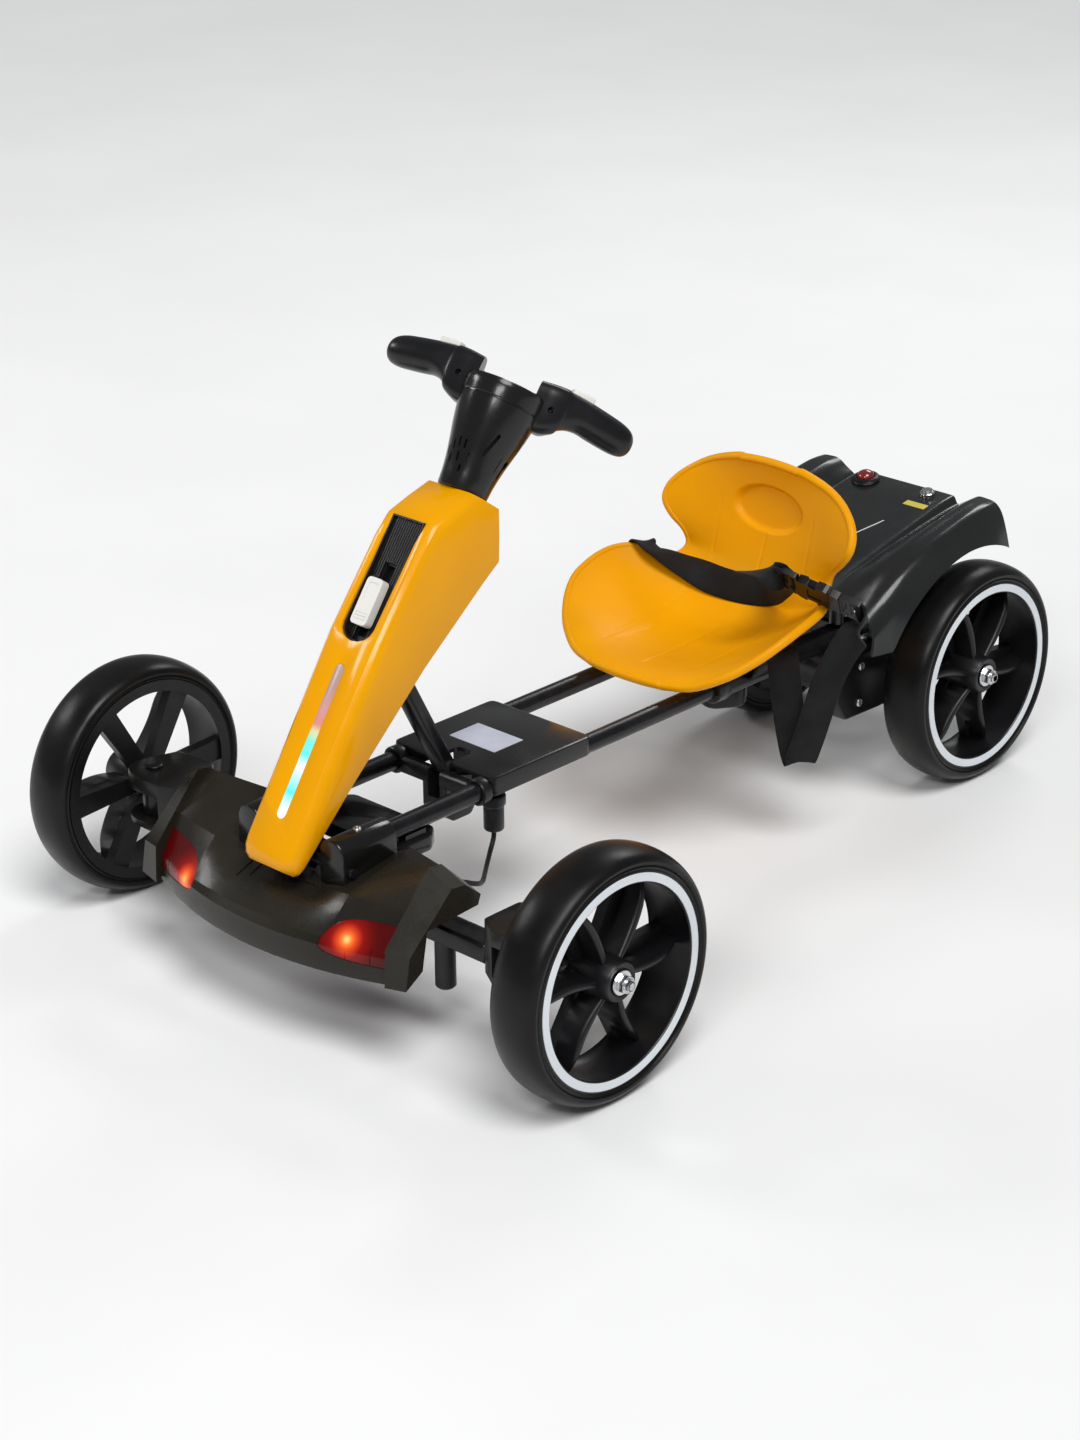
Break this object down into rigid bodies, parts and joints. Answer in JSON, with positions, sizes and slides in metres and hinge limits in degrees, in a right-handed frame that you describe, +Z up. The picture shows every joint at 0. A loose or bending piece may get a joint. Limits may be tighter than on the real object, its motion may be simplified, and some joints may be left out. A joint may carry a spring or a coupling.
{
  "type": "kids electric go-kart",
  "caption": "Low four-wheel ride-on kart with leaning steering column, bucket seat, telescoping twin-rail frame, wheel-arch rear deck and wide front wheels.",
  "frame": {"origin": "on the floor, at the middle of the kart's outline in X and Y", "axes": "+Y towards the back of the kart, +X towards the left of a rider who faces forwards, +Z up"},
  "size_m": [0.705, 1.03, 0.5743],
  "materials": {
    "yellow_gloss": "glossy moulded yellow shell",
    "dark_gloss": "glossy dark grey moulding",
    "black_paint": "satin black powder coat on steel",
    "black_plastic": "satin black moulding",
    "black_matte": "matte black jacket and case",
    "tyre_rubber": "smooth black tyre",
    "white_plastic": "white moulding",
    "red_lens": "clear red lens, lit",
    "light_diffuser": "milky light diffuser, lit",
    "zinc_steel": "bright zinc plated steel",
    "chrome": "polished chrome",
    "black_webbing": "black woven webbing",
    "red_plastic": "glossy red dome"
  },
  "bodies": {
    "front_frame": {"front_axle_tube": "black_paint", "fork_left": "dark_gloss", "fork_right": "dark_gloss", "kingpin_left": "zinc_steel", "kingpin_right": "zinc_steel", "rail_left": "black_paint", "rail_right": "black_paint", "rail_socket_left": "dark_gloss", "rail_socket_right": "dark_gloss", "column_pivot_pin": "zinc_steel", "mid_plate": "dark_gloss", "brace_bracket": "black_paint", "footrest": "dark_gloss", "cable_connector": "black_plastic", "connector_cable": "black_matte", "nose_shell": "dark_gloss", "light_lens_left": "red_lens", "light_lens_right": "red_lens"},
    "column": {"column_cover": "yellow_gloss", "light_strip": "light_diffuser", "column_spine": "black_paint", "slot_insert": "black_plastic"},
    "lock": {"lock_slider": "white_plastic"},
    "steering_head": {"head_body": "dark_gloss", "head_panel": "yellow_gloss", "steering_shaft": "zinc_steel", "grip_left": "black_plastic", "grip_right": "black_plastic"},
    "left_thumb_button": {"thumb_button_left": "white_plastic"},
    "right_thumb_button": {"thumb_button_right": "white_plastic"},
    "strut": {"brace_strut": "black_paint", "brace_pin": "zinc_steel"},
    "left_knuckle": {"knuckle_left": "black_paint", "hub_nut_front_left": "zinc_steel"},
    "right_knuckle": {"knuckle_right": "black_paint", "hub_nut_front_right": "zinc_steel"},
    "steering_link": {"tie_rod": "black_paint"},
    "front_left_wheel": {"tyre_front_left": "tyre_rubber", "rim_front_left": "black_plastic"},
    "front_right_wheel": {"tyre_front_right": "tyre_rubber", "rim_front_right": "black_plastic"},
    "rear_left_wheel": {"tyre_rear_left": "tyre_rubber", "rim_rear_left": "black_plastic"},
    "rear_right_wheel": {"tyre_rear_right": "tyre_rubber", "rim_rear_right": "black_plastic"},
    "rear_unit": {"rear_frame": "black_paint", "rear_axle": "zinc_steel", "hub_nut_rear_left": "zinc_steel", "hub_nut_rear_right": "zinc_steel", "gearbox": "black_plastic", "battery": "black_matte", "seat_shell": "yellow_gloss", "rear_shell": "dark_gloss", "button_bezel": "black_plastic", "belt_far": "black_webbing", "buckle": "black_plastic", "belt_near": "black_webbing"},
    "power_button": {"red_button": "red_plastic"},
    "speed_knob": {"chrome_knob": "chrome"},
    "clamp": {"clamp_knob": "black_plastic"}
  },
  "joints": [
    {"name": "steering", "type": "hinge", "parent": "column", "child": "steering_head", "pos_m": [0, -0.19584, 0.4926], "axis": [0, 0.5835, 0.8121], "range_deg": [-34, 34]},
    {"name": "left_knuckle_turn", "type": "hinge", "parent": "front_frame", "child": "left_knuckle", "pos_m": [0.26, -0.39955, 0.12], "axis": [0, 0, 1], "range_deg": [-21, 21]},
    {"name": "right_knuckle_turn", "type": "hinge", "parent": "front_frame", "child": "right_knuckle", "pos_m": [-0.26, -0.39955, 0.12], "axis": [0, 0, 1], "range_deg": [-21, 21]},
    {"name": "steering_link_slide", "type": "slide", "parent": "front_frame", "child": "steering_link", "axis": [1, 0, 0], "range_m": [-0.018, 0.018]},
    {"name": "column_fold", "type": "hinge", "parent": "front_frame", "child": "column", "pos_m": [0, -0.44554, 0.16001], "axis": [-1, 0, 0], "range_deg": [0, 15]},
    {"name": "strut_fold", "type": "hinge", "parent": "front_frame", "child": "strut", "pos_m": [0, -0.24205, 0.155], "axis": [-1, 0, 0], "range_deg": [0, 35]},
    {"name": "lock_slide", "type": "slide", "parent": "column", "child": "lock", "axis": [0, 0.5835, 0.8121], "range_m": [0, 0.012]},
    {"name": "left_thumb_press", "type": "slide", "parent": "steering_head", "child": "left_thumb_button", "axis": [0, -0.5835, -0.8121], "range_m": [0, 0.002], "stiffness_N_per_m": 300, "springref_m": -0.001},
    {"name": "right_thumb_press", "type": "slide", "parent": "steering_head", "child": "right_thumb_button", "axis": [0, -0.5835, -0.8121], "range_m": [0, 0.002], "stiffness_N_per_m": 300, "springref_m": -0.001},
    {"name": "front_left_spin", "type": "hinge", "parent": "left_knuckle", "child": "front_left_wheel", "pos_m": [0.3155, -0.37955, 0.12], "axis": [1, 0, 0], "continuous": true},
    {"name": "front_right_spin", "type": "hinge", "parent": "right_knuckle", "child": "front_right_wheel", "pos_m": [-0.3155, -0.37955, 0.12], "axis": [1, 0, 0], "continuous": true},
    {"name": "rear_left_spin", "type": "hinge", "parent": "rear_unit", "child": "rear_left_wheel", "pos_m": [0.1372, 0.39505, 0.12], "axis": [1, 0, 0], "continuous": true},
    {"name": "rear_right_spin", "type": "hinge", "parent": "rear_unit", "child": "rear_right_wheel", "pos_m": [-0.1372, 0.39505, 0.12], "axis": [1, 0, 0], "continuous": true},
    {"name": "length_slide", "type": "slide", "parent": "front_frame", "child": "rear_unit", "axis": [0, -1, 0], "range_m": [0, 0.08]},
    {"name": "clamp_turn", "type": "hinge", "parent": "rear_unit", "child": "clamp", "pos_m": [0, 0.15045, 0.135], "axis": [0, 0, 1], "range_deg": [0, 360]},
    {"name": "power_press", "type": "slide", "parent": "rear_unit", "child": "power_button", "axis": [0, 0.1676, -0.9859], "range_m": [0, 0.003], "stiffness_N_per_m": 300, "springref_m": -0.001},
    {"name": "speed_turn", "type": "hinge", "parent": "rear_unit", "child": "speed_knob", "pos_m": [0.04, 0.44305, 0.28099], "axis": [0, -0.1676, 0.9859], "range_deg": [0, 90]}
  ],
  "couplings": [
    {"joint": "left_knuckle_turn", "follows": "steering", "ratio": 0.6},
    {"joint": "right_knuckle_turn", "follows": "steering", "ratio": 0.6},
    {"joint": "steering_link_slide", "follows": "steering", "m_per_rad": -0.0296},
    {"joint": "strut_fold", "follows": "column_fold", "ratio": 2.29}
  ]
}
